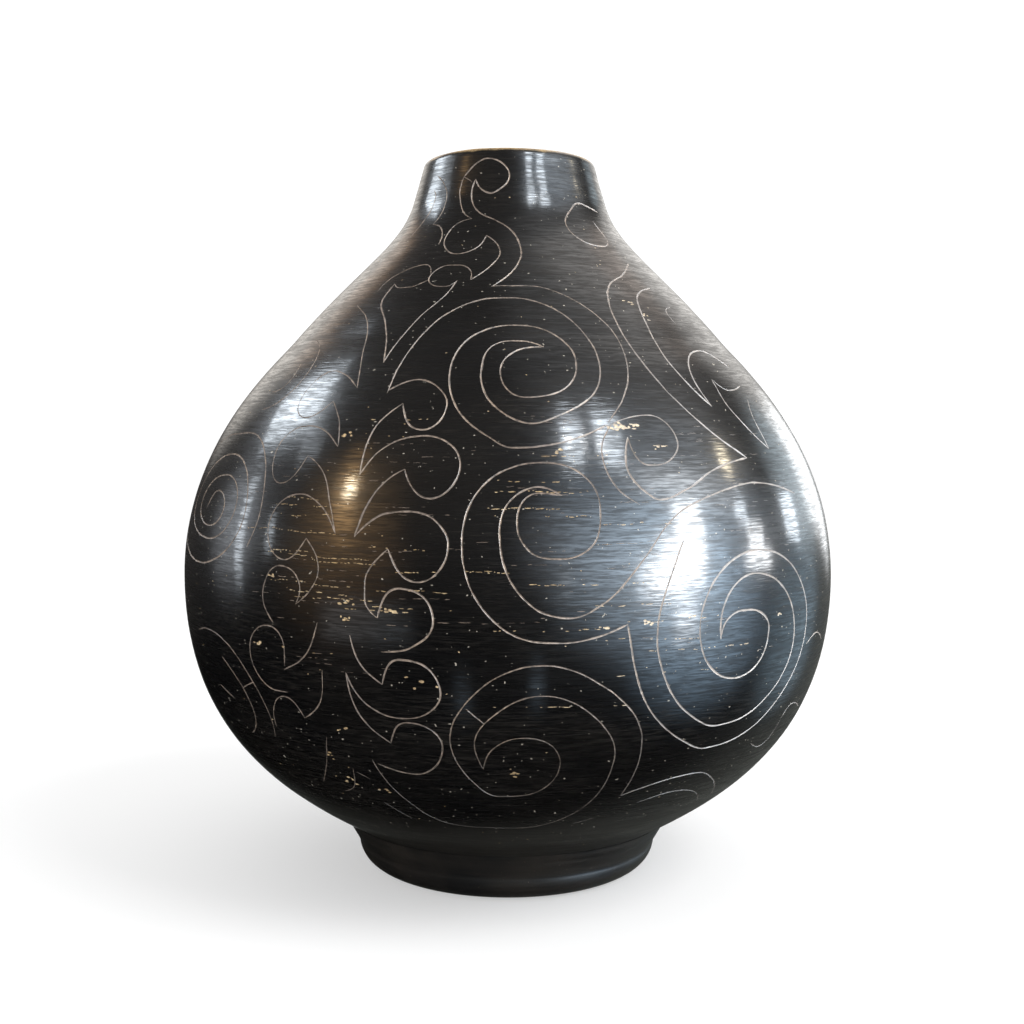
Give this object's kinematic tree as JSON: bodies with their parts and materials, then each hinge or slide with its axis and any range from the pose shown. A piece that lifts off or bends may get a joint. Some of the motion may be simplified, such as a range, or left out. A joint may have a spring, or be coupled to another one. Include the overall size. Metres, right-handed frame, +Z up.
{
  "type": "clay jar",
  "caption": "Round-bellied burnished black clay jar with a low foot ring, a narrow open neck and a rounded lip, for display or holding stems.",
  "frame": {"origin": "on the surface the jar stands on, under the middle of the jar", "axes": "+Z up along the jar's axis, out of its mouth; -Y is the side the picture shows; the jar is round, so X and Y are alike"},
  "size_m": [0.228, 0.228, 0.25],
  "materials": {
    "burnished_clay": "near-black reduction-fired clay, stone-burnished to a dark mirror, with scraped tan lines",
    "worn_clay": "near-black clay, burnished, rubbed through to tan along the top edge",
    "matt_clay": "dark grey-brown clay, satin on the foot and matt inside and underneath"
  },
  "bodies": {
    "root": {"foot_ring": "matt_clay", "base_floor": "matt_clay", "lower_bowl": "burnished_clay", "belly_band": "burnished_clay", "shoulder_dome": "burnished_clay", "neck_collar": "burnished_clay", "lip_coil": "worn_clay"}
  },
  "joints": []
}
